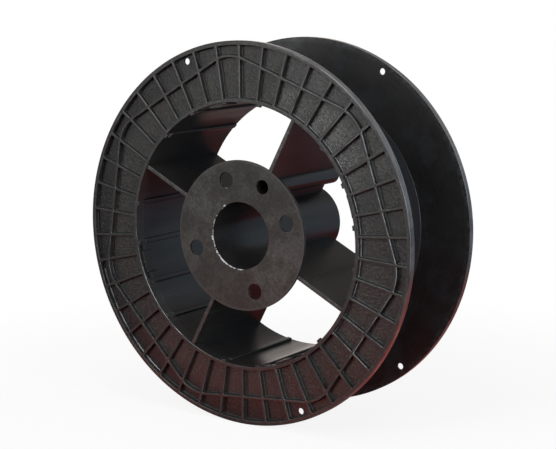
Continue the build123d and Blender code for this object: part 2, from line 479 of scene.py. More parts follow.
def ribbed_face(name, collar_radius):
    """The ribbed side of a flange, facing up: rib tops, walls and cell floors, open at both rims."""
    flange = bpy.context.scene.spool_flange
    half_rib = flange.rib_thickness / 2
    depth = flange.thickness - flange.web
    steps = flange.rib_count * flange.cell_steps
    inner = collar_radius - half_rib
    middle = flange.heptagon_reach
    outer = FLANGE_RADIUS - flange.rim + half_rib
    piece = first_ring(name, inner, FRONT, steps, flange.rib_phase)
    follow([(middle, FRONT), (outer, FRONT)], (inner, FRONT))
    mesh = bmesh.from_edit_mesh(piece.data)
    for corner in mesh.verts:
        if close_to(axis_distance(corner.co), middle):
            scale = heptagon_radius(math.atan2(corner.co.y, corner.co.x)) / middle
            corner.co.x *= scale
            corner.co.y *= scale
    bmesh.update_edit_mesh(piece.data)
    bpy.ops.mesh.select_all(action="SELECT")
    bpy.ops.mesh.normals_make_consistent(inside=False)
    mesh = bmesh.from_edit_mesh(piece.data)
    mesh.faces.ensure_lookup_table()
    if mesh.faces[0].normal.z < 0:
        bpy.ops.mesh.flip_normals()

    def inside_cell(edge):
        first, second = (rib_position(corner.co) for corner in edge.verts)
        apart = abs(first - second)
        radial = min(apart, 1 - apart) < 0.01
        return radial and abs(first) > 0.5 / flange.cell_steps

    select_where(piece, "EDGE", inside_cell)
    bpy.ops.mesh.dissolve_edges(use_verts=False)
    bpy.ops.mesh.select_mode(type="FACE")
    bpy.ops.mesh.select_all(action="SELECT")
    bpy.ops.mesh.inset(thickness=half_rib, use_individual=True, use_even_offset=True)
    bpy.ops.mesh.inset(thickness=flange.rib_draft, depth=-depth, use_individual=True, use_even_offset=True)

    floor = FRONT - depth
    near_rib = half_rib + flange.rib_draft * 2

    def upright_corner(edge):
        first, second = (corner.co for corner in edge.verts)
        return abs(first.z - second.z) > depth / 2 and max(from_rib(first), from_rib(second)) < near_rib

    select_where(piece, "EDGE", upright_corner)
    round_selected(flange.cell_corner, 3)

    def loop_at(height):
        def wanted(edge):
            level = all(close_to(corner.co.z, height) for corner in edge.verts)
            return level and any(abs(face.normal.z) < WALL for face in edge.link_faces)
        return wanted

    select_where(piece, "EDGE", loop_at(FRONT))
    round_selected(flange.top_round, 2)
    select_where(piece, "EDGE", loop_at(floor))
    round_selected(flange.foot_round, 3)
    return piece, inner, outer


def select_open_ring(piece, radius):
    select_where(piece, "EDGE", lambda edge: edge.is_boundary and all(
        close_to(axis_distance(corner.co), radius) for corner in edge.verts))


def rim_profile(back):
    """Rim corner, outer side and smooth side's edge, of a flange that faces up."""
    flange = bpy.context.scene.spool_flange
    edge = bpy.context.scene.spool_barrel.edge_round
    size = flange.rim_corner
    return (arc(FLANGE_RADIUS - size, FRONT - size, size, 90, 0, 4)
            + arc(FLANGE_RADIUS - edge, back + edge, edge, 0, -90, 2))


def wire_hole_cutter(cells):
    """Flared cutters for the wire holes, from face to face of a flange that faces up."""
    flange = bpy.context.scene.spool_flange
    flare = bpy.context.scene.spool_hub.hole_round
    radius = flange.wire_hole / 2
    back = FRONT - flange.thickness
    floor = back + flange.web
    past = flange.web
    cutter = turned("wire_hole", [
        (radius + flare + past, back - past), (radius + flare, back), (radius, back + flare),
        (radius, floor - flare), (radius + flare, floor), (radius + flare + past, floor + past)],
        WIRE_HOLE_STEPS)
    cutter.location.x = FLANGE_RADIUS - flange.wire_hole_inset
    apply_place(cutter)
    pitch = FULL_TURN / flange.rib_count
    return copies_round_axis(cutter, [flange.rib_phase + pitch * cell for cell in cells])


def spoke_angles(share=0.0):
    """Each spoke's angle, or that of a place a share of the way on to the next spoke."""
    hub = bpy.context.scene.spool_hub
    pitch = FULL_TURN / hub.spoke_count
    return [hub.spoke_phase + pitch * (index + share) for index in range(hub.spoke_count)]


def window_middles():
    return spoke_angles(0.5)


def hook_angles():
    """One snap hook in each window; the upper and lower ones lean away from each other."""
    lean = bpy.context.scene.spool_barrel.hook_lean
    return [angle + side * lean for angle, side in zip(window_middles(), (-1, 0, 1, 0))]


def stiffener_angles():
    """Every place on the stiffeners' pitch that isn't taken by a spoke."""
    barrel = bpy.context.scene.spool_barrel
    hub = bpy.context.scene.spool_hub
    per_spoke = barrel.stiffener_count // hub.spoke_count
    pitch = FULL_TURN / barrel.stiffener_count
    places = range(barrel.stiffener_count)
    return [hub.spoke_phase + pitch * index for index in places if index % per_spoke]


def swept_block(name, profile, width, angles, rounding=0.0):
    """A profile of (radius, height) points swept a short way round the axis, at each angle."""
    barrel = bpy.context.scene.spool_barrel
    sweep = width / max(radius for radius, height in profile)
    deselect_all()
    bpy.ops.mesh.primitive_circle_add(vertices=len(profile), radius=1, fill_type="NGON")
    piece = bpy.context.object
    piece.name = name
    for corner, (radius, height) in zip(piece.data.vertices, profile):
        corner.co = (radius, 0, height)
    edit(piece, "FACE")
    bpy.ops.mesh.select_all(action="SELECT")
    bpy.ops.mesh.spin(steps=barrel.hook_steps, angle=sweep, center=(0, 0, 0), axis=(0, 0, 1))
    close_shell()
    if rounding:
        edit(piece)
        select_where(piece, "EDGE", creased)
        round_selected(rounding, 2)
        bpy.ops.object.mode_set(mode="OBJECT")
    middle = sum((corner.co.normalized() for corner in piece.data.vertices), Vector())
    return copies_round_axis(piece, [angle - math.atan2(middle.y, middle.x) for angle in angles])


def collar_radii():
    """Bore and outside of the front flange's collar, and outside of its spigot."""
    barrel = bpy.context.scene.spool_barrel
    spigot = barrel.radius - barrel.wall - barrel.clearance
    bore = spigot - barrel.spigot_wall
    return bore, bore + barrel.collar_wall, spigot


def ribbed_regions(side, collar_radius):
    """Finishes of a ribbed side, each with a test for its faces; side is 1 in front, -1 at the rear."""
    flange = bpy.context.scene.spool_flange
    depth = flange.thickness - flange.web
    slight = 0.02 * MILLIMETRE

    def below_top(face):
        return FRONT - side * face.calc_center_median().z

    def on_side(face):
        outside = axis_distance(face.calc_center_median()) > collar_radius - slight
        return outside and below_top(face) < depth + slight and side * face.normal.z > -0.2

    def rim(face):
        near_rim = axis_distance(face.calc_center_median()) > FLANGE_RADIUS - flange.rim_corner
        return near_rim and abs(face.normal.z) < ROUNDING and below_top(face) < flange.thickness

    def cell(face):
        return on_side(face) and not rim(face) and below_top(face) > flange.top_round - slight

    def cell_wall(face):
        return cell(face) and abs(face.normal.z) < WALL

    def cell_foot(face):
        """Where a rib meets the floor on its underside, painted dark as shade."""
        at_foot = depth - flange.foot_round - slight < below_top(face) < depth - slight
        return cell(face) and face.normal.y < -0.12 and at_foot

    def rib_top(face):
        return on_side(face) and below_top(face) < slight

    def worn_edge(face):
        return on_side(face) and not rim(face) and slight <= below_top(face) <= flange.top_round - slight

    def lower_left_glint(face):
        """At the lower left, what faces right of the mouth's edge and of the foot of the rim's wall, which
        gets a painted highlight.
        """
        centre = face.calc_center_median()
        angle = math.degrees(math.atan2(centre.y, centre.x)) % 360
        if axis_distance(centre) < collar_radius + flange.top_round:
            wanted = slight <= below_top(face) < flange.top_round + slight
        else:
            in_wall = axis_distance(centre) > FLANGE_RADIUS - flange.rim - flange.foot_round
            wanted = in_wall and depth - flange.foot_round * 1.2 < below_top(face) < depth - slight
        in_stretch = LOWER_LEFT_GLINT_STRETCH[0] < angle < LOWER_LEFT_GLINT_STRETCH[1]
        return in_stretch and wanted and face.normal.x > 0.15 and on_side(face)

    def painted_highlight(face):
        """At the top and right, the edges of ribs that face right, and their feet next to the collar, which
        get a painted highlight.
        """
        centre = face.calc_center_median()
        angle = math.degrees(math.atan2(centre.y, centre.x))
        if axis_distance(centre) < collar_radius + 2 * flange.rib_thickness:
            wanted = depth - 2 * flange.foot_round < below_top(face) < depth - slight
        else:
            wanted = slight <= below_top(face) <= flange.top_round - slight
        in_stretch = RIGHT_GLINT_STRETCH[0] < angle < RIGHT_GLINT_STRETCH[1]
        return in_stretch and wanted and face.normal.x > 0.3 and on_side(face) and not rim(face)

    # Faces of the edges that get a painted highlight.
    def painted_sheen(face):
        return lower_left_glint(face) or painted_highlight(face)

    return [("grained_cells", cell), ("cell_walls", cell_wall), ("cell_feet", cell_foot),
            ("rib_tops", rib_top), ("worn_edges", worn_edge), ("lined_rim", rim),
            ("rubbed_edges", painted_sheen)]


def finish_moulding(piece, node, regions):
    """Gives each region its finish, sets the moulding upright and lets it stand for its CAD node."""
    activate(piece)
    piece.data.materials.clear()
    piece.data.materials.append(finish_called("smooth_moulding"))
    for name, wanted in regions:
        piece.data.materials.append(finish_called(name))
        edit(piece, "FACE")
        select_where(piece, "FACE", wanted)
        piece.active_material_index = len(piece.data.materials) - 1
        bpy.ops.object.material_slot_assign()
        bpy.ops.object.mode_set(mode="OBJECT")
    upright = Matrix.Translation((0, 0, FLANGE_RADIUS)) @ Matrix.Rotation(math.radians(90), 4, "X")
    piece.matrix_world = upright @ piece.matrix_world
    apply_place(piece)
    bpy.ops.object.shade_smooth_by_angle(angle=SMOOTH_UNDER)
    weighted = piece.modifiers.new("Flat faces", "WEIGHTED_NORMAL")
    weighted.keep_sharp = True
    weighted.weight = 60
    bpy.ops.object.modifier_apply(modifier=weighted.name)
    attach(piece, "root")
    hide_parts(node)


class Finish:
    """The node tree of a material or a world, built a node at a time."""

    def __init__(self, name="", world=None):
        self.material = None if world else bpy.data.materials.new(name)
        owner = world or self.material
        owner.use_nodes = True
        self.tree = owner.node_tree
        self.tree.nodes.clear()
        self.output = self.tree.nodes.new("ShaderNodeOutputWorld" if world else "ShaderNodeOutputMaterial")
        coordinates = self.add("TexCoord")
        self.place = coordinates["Object"]
        self.direction = coordinates["Generated"]

    def add(self, kind, inputs=None, **settings):
        """Adds a node, sets or links its inputs and returns its outputs."""
        node = self.tree.nodes.new("ShaderNode" + kind)
        for name, value in settings.items():
            setattr(node, name, value)
        for name, value in (inputs or {}).items():
            if isinstance(value, bpy.types.NodeSocket):
                self.tree.links.new(value, node.inputs[name])
            else:
                node.inputs[name].default_value = value
        return node.outputs

    def math(self, operation, first, second=0.0):
        return self.add("Math", {0: first, 1: second}, operation=operation)["Value"]

    def vector(self, operation, first, second=(0, 0, 0)):
        return self.add("VectorMath", {0: first, 1: second}, operation=operation)

    def times(self, first, second):
        return self.math("MULTIPLY", first, second)

    def span(self, value, low, high, new_low=0.0, new_high=1.0, smooth=True):
        """Maps a value from one span to another, and holds it at the ends."""
        return self.add("MapRange", {
            "Value": value, "From Min": low, "From Max": high, "To Min": new_low, "To Max": new_high},
            interpolation_type="SMOOTHSTEP" if smooth else "LINEAR")["Result"]

    def noise(self, size, detail=2.0, place=None, roughness=0.5):
        """Noise whose blobs are about a size across."""
        return self.add("TexNoise", {
            "Vector": place or self.place, "Scale": 0.5 / size,
            "Detail": detail, "Roughness": roughness})["Fac"]

    def from_axis(self):
        """Distance from the spool's axis, the direction away from it, and the place along it."""
        centred = self.vector("ADD", self.place, (0, 0, -FLANGE_RADIUS))["Vector"]
        flat = self.vector("MULTIPLY", centred, (1, 0, 1))["Vector"]
        radius = self.vector("LENGTH", flat)["Value"]
        outward = self.vector("NORMALIZE", flat)["Vector"]
        return radius, outward, self.add("SeparateXYZ", {0: centred})["Y"]

    def towards(self, outward, degrees):
        """How nearly a place lies in a direction, in degrees from the right, from -1 to 1."""
        aim = math.radians(degrees)
        return self.vector("DOT_PRODUCT", outward, (math.cos(aim), 0, math.sin(aim)))["Value"]

    def drawn_round(self, outward, across, reach, size):
        """Noise drawn out round the axis: marks about a reach long and, across them, a size wide."""
        turns = FLANGE_RADIUS / reach
        around = self.vector("MULTIPLY", outward, (turns, turns, turns))["Vector"]
        step = self.add("CombineXYZ", {"Y": self.math("DIVIDE", across, size)})["Vector"]
        place = self.vector("ADD", around, step)["Vector"]
        return self.add("TexNoise", {"Vector": place, "Scale": 1.0, "Detail": 2.0})["Fac"]

    def drawn_along(self, reach, size):
        """Noise drawn out along the axis: marks about a reach long and a size wide."""
        place = self.vector("MULTIPLY", self.place, (1, size / reach, 1))["Vector"]
        return self.noise(size, place=place)

    def tinted(self, size, *tones):
        """Wide clouds that drift through the tones in turn."""
        drift = self.noise(size, 2.0)
        tone = tones[0]
        for index, next_tone in enumerate(tones[1:]):
            start = 0.36 + 0.28 * index / (len(tones) - 1)
            tone = self.mix(self.span(drift, start, start + 0.28 / (len(tones) - 1)), tone, next_tone)
        return tone

    def mix(self, share, first, second):
        node = self.tree.nodes.new("ShaderNodeMix")
        node.data_type = "RGBA"
        for socket, value in ((node.inputs[0], share), (node.inputs[6], first), (node.inputs[7], second)):
            if isinstance(value, bpy.types.NodeSocket):
                self.tree.links.new(value, socket)
            else:
                socket.default_value = value if isinstance(value, float) else (*value, 1)
        return node.outputs[2]

    def either(self, share, first, second):
        """Mixes two shaders."""
        return self.add("MixShader", {"Fac": share, 1: first, 2: second})["Shader"]

    def end(self, surface):
        self.tree.links.new(surface, self.output.inputs["Surface"])

    def plastic(self, tone, rough, relief, depth):
        """Ends the tree as moulded plastic with a tone, a roughness and a relief of a depth."""
        bump = self.add("Bump", {"Height": relief, "Strength": 1.0, "Distance": depth})
        shader = self.add("BsdfPrincipled", {
            "Base Color": tone, "Roughness": rough, "Normal": bump["Normal"]})
        self.end(shader["BSDF"])
        return self.material


def smooth_moulding(finish):
    """Smooth charcoal plastic with faint marks of ejection along the axis."""
    streak = finish.drawn_along(60 * MILLIMETRE, 1.2 * MILLIMETRE)
    broad = finish.drawn_along(90 * MILLIMETRE, 7 * MILLIMETRE)
    cloud = finish.noise(18 * MILLIMETRE, 3)
    tone = finish.mix(finish.span(cloud, 0.35, 0.65), (0.0098, 0.0087, 0.0082), (0.0150, 0.0136, 0.0129))
    tone = finish.mix(finish.span(streak, 0.58, 0.75, 0, 0.6), tone, (0.028, 0.0275, 0.0275))
    rough = finish.span(broad, 0.3, 0.7, 0.24, 0.40)
    return finish.plastic(tone, rough, streak, 0.02 * MILLIMETRE)


def grained_cells(finish):
    """Spark-grained floors of the cells in drifting tones, with painted shade by the left rim, a painted
    warm reflection low down and a painted highlight at the upper right.
    """
    shade_aim, warm_reflection_aim, highlight_aim = 200, 253, 49
    radius, outward, _ = finish.from_axis()
    grain = finish.noise(1.1 * MILLIMETRE, 4, roughness=0.7)
    blotch = finish.noise(5 * MILLIMETRE, 3, roughness=0.6)
    grey, olive, brown = (0.0075, 0.0086, 0.0106), (0.0110, 0.0110, 0.0088), (0.0145, 0.0118, 0.0100)
    tone = finish.tinted(30 * MILLIMETRE, grey, olive, brown)
    tone = finish.mix(finish.span(blotch, 0.42, 0.66, 0, 0.6), tone, (0.021, 0.0208, 0.0198))
    tone = finish.mix(finish.span(grain, 0.46, 0.68, 0, 0.9), tone, (0.045, 0.0448, 0.0440))
    # Painted shade: the outer cells darken towards the lower left rim.
    painted_shade = finish.span(finish.towards(outward, shade_aim), -0.6, 0.5, 0.08, 0.95)
    painted_shade = finish.times(painted_shade, finish.span(radius, 126 * MILLIMETRE, 138 * MILLIMETRE, 0.18, 1))
    tone = finish.mix(painted_shade, tone, (0.003, 0.003, 0.003))
    # Painted reflection: the inner cells at the bottom are lifted to a warm red-brown, as the red ground
    # would show in them.
    warm_reflection = finish.span(finish.towards(outward, warm_reflection_aim), 0.80, 0.97, 0, 0.3)
    warm_reflection = finish.times(warm_reflection, finish.span(radius, 122 * MILLIMETRE, 132 * MILLIMETRE, 1, 0))
    tone = finish.mix(warm_reflection, tone, (0.042, 0.031, 0.030))
    # Painted highlight: a pale patch on the inner cells at the upper right, broken up by the grain.
    painted_highlight = finish.span(finish.towards(outward, highlight_aim), 0.848, 0.985)
    painted_highlight = finish.times(painted_highlight, finish.span(radius, 124 * MILLIMETRE, 134 * MILLIMETRE, 1, 0.5))
    fine = finish.noise(0.6 * MILLIMETRE, 2, roughness=0.7)
    painted_highlight = finish.times(painted_highlight, finish.span(fine, 0.40, 0.66, 0.05, 0.85))
    wide = finish.noise(9 * MILLIMETRE, 2)
    painted_highlight = finish.times(painted_highlight, finish.span(wide, 0.34, 0.58, 0.55, 1.1))
    tone = finish.mix(painted_highlight, tone, (0.150, 0.155, 0.151))
    rough = finish.span(blotch, 0.3, 0.7, 0.42, 0.34)
    return finish.plastic(tone, rough, grain, 0.38 * MILLIMETRE)


def cell_walls(finish):
    """Walls of the cells, drawn smoother than their floors when the moulding left its mould."""
    streak = finish.drawn_along(6 * MILLIMETRE, 0.9 * MILLIMETRE)
    cloud = finish.noise(12 * MILLIMETRE, 2)
    tone = finish.mix(finish.span(streak, 0.40, 0.66), (0.0135, 0.0140, 0.0148), (0.027, 0.0276, 0.0286))
    rough = finish.span(cloud, 0.3, 0.7, 0.28, 0.40)
    return finish.plastic(tone, rough, streak, 0.02 * MILLIMETRE)


def cell_feet(finish):
    """Undersides of the ribs where they meet the floor: dull, with painted shade that darkens them."""
    cloud = finish.noise(6 * MILLIMETRE, 2)
    # Painted shade: a near-black tone where the ribs' undersides meet the floor.
    tone = finish.mix(finish.span(cloud, 0.4, 0.6), (0.0045, 0.0045, 0.0046), (0.0075, 0.0074, 0.0072))
    shader = finish.add("BsdfPrincipled", {
        "Base Color": tone, "Roughness": 0.7, "Specular IOR Level": 0.12})
    finish.end(shader["BSDF"])
    return finish.material


def rib_tops(finish):
    """Rib tops, rubbed a little smoother and paler than the cells."""
    rub = finish.noise(1.8 * MILLIMETRE, 3, roughness=0.65)
    grey, olive, brown = (0.0110, 0.0122, 0.0142), (0.0150, 0.0150, 0.0130), (0.0185, 0.0160, 0.0140)
    tone = finish.tinted(24 * MILLIMETRE, grey, olive, brown)
    tone = finish.mix(finish.span(rub, 0.48, 0.68, 0, 0.8), tone, (0.040, 0.0397, 0.0388))
    rough = finish.span(rub, 0.3, 0.7, 0.44, 0.34)
    return finish.plastic(tone, rough, rub, 0.08 * MILLIMETRE)


def worn_edges(finish):
    """Rounded edges of the ribs, polished and paler in patches."""
    patch = finish.noise(5 * MILLIMETRE, 3)
    grain = finish.noise(0.8 * MILLIMETRE, 2)
    tone = finish.mix(finish.span(patch, 0.40, 0.62), (0.024, 0.0243, 0.0248), (0.062, 0.0630, 0.0650))
    rough = finish.span(patch, 0.35, 0.65, 0.30, 0.19)
    return finish.plastic(tone, rough, grain, 0.015 * MILLIMETRE)


def rubbed_edges(finish):
    """Edges with a painted highlight in bright broken lines, weaker at the top."""
    dimmer_glint_aim = 112
    worn, glint_tone = (0.045, 0.0460, 0.0480), (0.260, 0.2680, 0.2830)
    _, outward, _ = finish.from_axis()
    patch = finish.noise(8 * MILLIMETRE, 3)
    # Painted highlight: pale lines on edges that face right, dimmer towards the top.
    bright = finish.span(finish.towards(outward, dimmer_glint_aim), 0.50, 0.80, 1, 0.3)
    bright = finish.times(bright, finish.span(patch, 0.34, 0.56))
    tone = finish.mix(bright, worn, glint_tone)
    return finish.plastic(tone, finish.span(patch, 0.3, 0.6, 0.30, 0.18), patch, 0.01 * MILLIMETRE)


def lined_rim(finish):
    """The rim's outer band, with fine lines round it and a painted highlight at the upper right."""
    sheen_aim = 42
    _, outward, along = finish.from_axis()
    line = finish.drawn_round(outward, along, 25 * MILLIMETRE, 0.6 * MILLIMETRE)
    patch = finish.noise(7 * MILLIMETRE, 3)
    tone = finish.mix(finish.span(line, 0.40, 0.66), (0.016, 0.0165, 0.0176), (0.066, 0.0680, 0.0715))
    tone = finish.mix(finish.span(patch, 0.48, 0.66, 0, 0.6), tone, (0.092, 0.0950, 0.0990))
    # Painted highlight: the band is paler towards the upper right.
    painted_sheen = finish.span(finish.towards(outward, sheen_aim), 0.82, 0.97)
    painted_sheen = finish.times(painted_sheen, finish.span(line, 0.36, 0.60, 0.25, 0.9))
    tone = finish.mix(painted_sheen, tone, (0.140, 0.1405, 0.1430))
    rough = finish.span(line, 0.3, 0.7, 0.36, 0.22)
    return finish.plastic(tone, rough, line, 0.05 * MILLIMETRE)


def winding_side(finish):
    """Smooth dark side that the wire rubs, with smears, faint rings and a scuffed edge."""
    radius, outward, _ = finish.from_axis()
    ring = finish.drawn_round(outward, radius, 45 * MILLIMETRE, 0.8 * MILLIMETRE)
    cloud = finish.noise(20 * MILLIMETRE, 4, roughness=0.6)
    smear = finish.noise(12 * MILLIMETRE, 6, roughness=0.7)
    fleck = finish.noise(1.8 * MILLIMETRE, 4, roughness=0.75)
    tone = finish.mix(finish.span(cloud, 0.35, 0.65), (0.0068, 0.0068, 0.0070), (0.0120, 0.0120, 0.0124))
    tone = finish.mix(finish.span(smear, 0.44, 0.62, 0, 0.6), tone, (0.025, 0.0270, 0.0305))
    tone = finish.mix(finish.span(ring, 0.56, 0.74, 0, 0.5), tone, (0.032, 0.0322, 0.0328))
    outer = finish.span(radius, 144.5 * MILLIMETRE, 148.5 * MILLIMETRE)
    scuff = finish.times(outer, finish.span(fleck, 0.42, 0.62, 0.05, 0.7))
    tone = finish.mix(scuff, tone, (0.046, 0.0480, 0.0510))
    rough = finish.span(ring, 0.3, 0.7, 0.40, 0.30)
    rough = finish.math("ADD", rough, finish.span(smear, 0.42, 0.62, 0.07, -0.03))
    return finish.plastic(tone, rough, ring, 0.02 * MILLIMETRE)


def barrel_outside(finish):
    """The barrel's outside, marked all round by turns of wire and rubbed bluish grey."""
    _, outward, along = finish.from_axis()
    turn_mark = finish.drawn_round(outward, along, 50 * MILLIMETRE, 1.2 * MILLIMETRE)
    tone = finish.mix(finish.span(turn_mark, 0.38, 0.68), (0.0095, 0.0104, 0.0122), (0.023, 0.0248, 0.0285))
    rough = finish.span(turn_mark, 0.3, 0.7, 0.44, 0.32)
    return finish.plastic(tone, rough, turn_mark, 0.03 * MILLIMETRE)


def spoke_edges(finish):
    """Narrow front edges of the spokes, matt and rubbed as the hub is."""
    rub = finish.noise(2.2 * MILLIMETRE, 3, roughness=0.6)
    tone = finish.mix(finish.span(rub, 0.38, 0.66), (0.022, 0.0216, 0.0209), (0.052, 0.0508, 0.0490))
    return finish.plastic(tone, finish.span(rub, 0.3, 0.7, 0.50, 0.36), rub, 0.04 * MILLIMETRE)


def scuffed_hub(finish):
    """Matt face of the hub disc: blotched, scuffed round the bore, pale at its edge, chipped at the bore."""
    hub = bpy.context.scene.spool_hub
    bore = hub.bore / 2
    radius, outward, _ = finish.from_axis()
    blotch = finish.noise(9 * MILLIMETRE, 7, roughness=0.78)
    grain = finish.noise(1.1 * MILLIMETRE, 3, roughness=0.75)
    greener_aim = 125
    greener = finish.times(finish.towards(outward, greener_aim), 0.12)
    drift = finish.math("ADD", finish.noise(28 * MILLIMETRE, 2), greener)
    tone = finish.mix(finish.span(drift, 0.44, 0.66), (0.0118, 0.0103, 0.0088), (0.0098, 0.0112, 0.0096))
    tone = finish.mix(finish.span(grain, 0.44, 0.68, 0, 0.6), tone, (0.033, 0.0325, 0.0300))
    scuff = finish.span(finish.drawn_round(outward, radius, 5 * MILLIMETRE, 10 * MILLIMETRE), 0.52, 0.72)
    worn = finish.span(blotch, 0.44, 0.62, 0.12, 1)
    speck = finish.times(worn, finish.span(grain, 0.34, 0.62, 0.35, 1))
    pale_patches = (
        (142, 0.80, (0.056, 0.0620, 0.0560)), (322, 0.70, (0.068, 0.0625, 0.0590)),
        (192, 0.90, (0.048, 0.0455, 0.0415)), (15, 0.86, (0.046, 0.0452, 0.0410)))
    for aim, wide, pale in pale_patches:
        share = finish.span(finish.towards(outward, aim), wide, 0.98, 0.1, 0.8)
        tone = finish.mix(finish.times(share, speck), tone, pale)
    near_bore = finish.span(radius, bore + 2 * MILLIMETRE, bore + 22 * MILLIMETRE, 0.6, 0.1)
    near_bore = finish.times(near_bore, worn)
    tone = finish.mix(finish.times(scuff, near_bore), tone, (0.085, 0.0830, 0.0810))
    edge_start = hub.disc_radius - 2.0 * MILLIMETRE
    pale_edge = finish.span(radius, edge_start, edge_start + 0.8 * MILLIMETRE, 0, 0.6)
    tone = finish.mix(pale_edge, tone, (0.044, 0.0428, 0.0405))
    flake = finish.noise(1.5 * MILLIMETRE, 2)
    reach = 0.0
    chipped_stretches = ((215, 40, 1.0), (174, 15, 0.8), (263, 14, 0.6), (122, 4, 1.1), (146, 20, 0.4))
    for aim, half_width, depth in chipped_stretches:
        wide = math.cos(math.radians(half_width))
        chance = finish.span(finish.towards(outward, aim), wide, (1 + 2 * wide) / 3, 0, depth)
        reach = finish.math("MAXIMUM", reach, chance)
    reach = finish.times(reach, finish.span(flake, 0.38, 0.56, 0.05, 1))
    edge = finish.span(reach, 0.15, 1, bore, bore + 1.25 * MILLIMETRE, smooth=False)
    chip = finish.math("LESS_THAN", radius, edge)
    tone = finish.mix(chip, tone, (0.46, 0.48, 0.51))
    rough = finish.span(blotch, 0.3, 0.7, 0.66, 0.50)
    relief = finish.math("SUBTRACT", grain, chip)
    return finish.plastic(tone, rough, relief, 0.12 * MILLIMETRE)


FINISHES = {maker.__name__: maker for maker in (
    smooth_moulding, grained_cells, cell_walls, cell_feet, rib_tops, worn_edges, rubbed_edges, lined_rim,
    winding_side, barrel_outside, spoke_edges, scuffed_hub)}


def finish_called(name):
    """The material of a finish, made the first time that it is wanted."""
    return bpy.data.materials.get(name) or FINISHES[name](Finish(name))


class WIRESPOOL_OT_front_flange(bpy.types.Operator):
    """Model the front flange, with the collar and spigot that clip it to the barrel"""

    bl_idname = "wire_spool.front_flange"
    bl_label = "Front flange"

    def execute(self, context):
        flange = context.scene.spool_flange
        barrel = context.scene.spool_barrel
        bore, collar, spigot = collar_radii()
        back = FRONT - flange.thickness
        end = back - barrel.spigot
        edge = barrel.edge_round
        piece, inner, outer = ribbed_face("front_flange_moulding", collar)
        select_open_ring(piece, outer)
        profile = rim_profile(back) + [(spigot, back)]
        profile += arc(spigot - edge, end + edge, edge, 0, -90, 2)
        profile += arc(bore + edge, end + edge, edge, -90, -180, 2)
        profile += arc(bore + edge, FRONT - edge, edge, 180, 90, 3)
        follow(profile + [(inner, FRONT)], (outer, FRONT))
        close_shell()
        combine(piece, self.bumps(bore), "UNION")
        combine(piece, self.notches(bore), "DIFFERENCE")
        combine(piece, wire_hole_cutter(flange.front_hole_cells), "DIFFERENCE")
        regions = ribbed_regions(1, bore)
        finish_moulding(piece, "front_flange", regions + [("winding_side", self.winding_side)])
        return {"FINISHED"}

    def winding_side(self, face):
        """The smooth side that the wire lies against."""
        back = FRONT - bpy.context.scene.spool_flange.thickness
        return face.normal.z < -FLAT and close_to(face.calc_center_median().z, back)

    def bumps(self, bore):
        """Short bumps in the collar's mouth, in line with the barrel's stiffeners."""
        barrel = bpy.context.scene.spool_barrel
        half = barrel.stiffener_width / 2
        bump = block("bump", (bore - barrel.stiffener_height, -half, FRONT - barrel.bump),
                     (bore + barrel.embed, half, FRONT - barrel.edge_round / 2), barrel.edge_round)
        return copies_round_axis(bump, stiffener_angles())

    def notches(self, bore):
        """Notches in the collar's bore that the noses of the snap hooks catch in."""
        barrel = bpy.context.scene.spool_barrel
        top = FRONT - barrel.hook_recess + barrel.notch_clearance
        foot = FRONT - barrel.hook_recess - barrel.hook_nose_length - barrel.notch_clearance
        low = bore - barrel.hook_thickness
        high = bore + barrel.hook_nose + barrel.notch_clearance
        return swept_block("notch", [(low, foot), (high, foot), (high, top), (low, top)],
                           barrel.notch_width, hook_angles())


